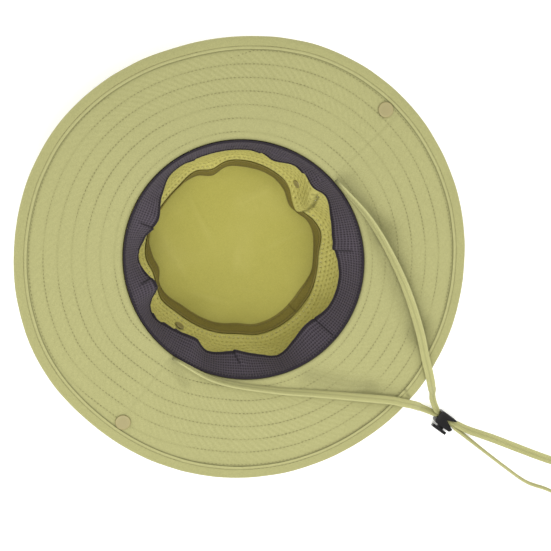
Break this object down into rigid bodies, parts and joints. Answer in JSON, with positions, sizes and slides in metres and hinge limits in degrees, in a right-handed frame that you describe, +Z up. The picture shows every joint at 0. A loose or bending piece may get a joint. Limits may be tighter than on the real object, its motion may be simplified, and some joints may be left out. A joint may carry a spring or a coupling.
{
  "type": "wide brim fishing hat",
  "caption": "Wide brim fishing hat lying upside down on its crown, with a stitched brim, a knitted sweatband, snaps on brim and crown, and a chin strap with a cord lock.",
  "frame": {"origin": "the middle of the crown top's outer face, on the surface that the upturned hat rests on", "axes": "+Z up, out of the head opening; -Y towards the front of the hat; +X and -X towards its sides"},
  "size_m": [0.3503, 0.5796, 0.0963],
  "materials": {
    "brim_cotton": "matt plain-woven cotton in pale olive",
    "crown_cotton": "matt cotton and pierced mesh in olive",
    "seam_tape": "dark olive woven tape",
    "sweatband_knit": "dark grey waffle knit",
    "snap_metal": "satin olive enamel",
    "strap_weave": "flat woven tape in pale olive",
    "lock_plastic": "black satin plastic"
  },
  "bodies": {
    "hat": {"crown_top": "crown_cotton", "crown_wall": "crown_cotton", "seam_tape": "seam_tape", "sweatband": "sweatband_knit", "brim": "brim_cotton", "brim_binding": "brim_cotton", "brim_snap_right": "snap_metal", "brim_snap_left": "snap_metal", "crown_snap_right": "snap_metal", "crown_snap_left": "snap_metal", "chin_strap": "strap_weave", "cord_lock_body": "lock_plastic"},
    "lock_button": {"cord_lock_button": "lock_plastic"}
  },
  "joints": [
    {"name": "button_press", "type": "slide", "parent": "hat", "child": "lock_button", "axis": [-0.9976, -0.0698, 0], "range_m": [0, 0.0014], "stiffness_N_per_m": 900, "springref_m": -0.0015}
  ]
}
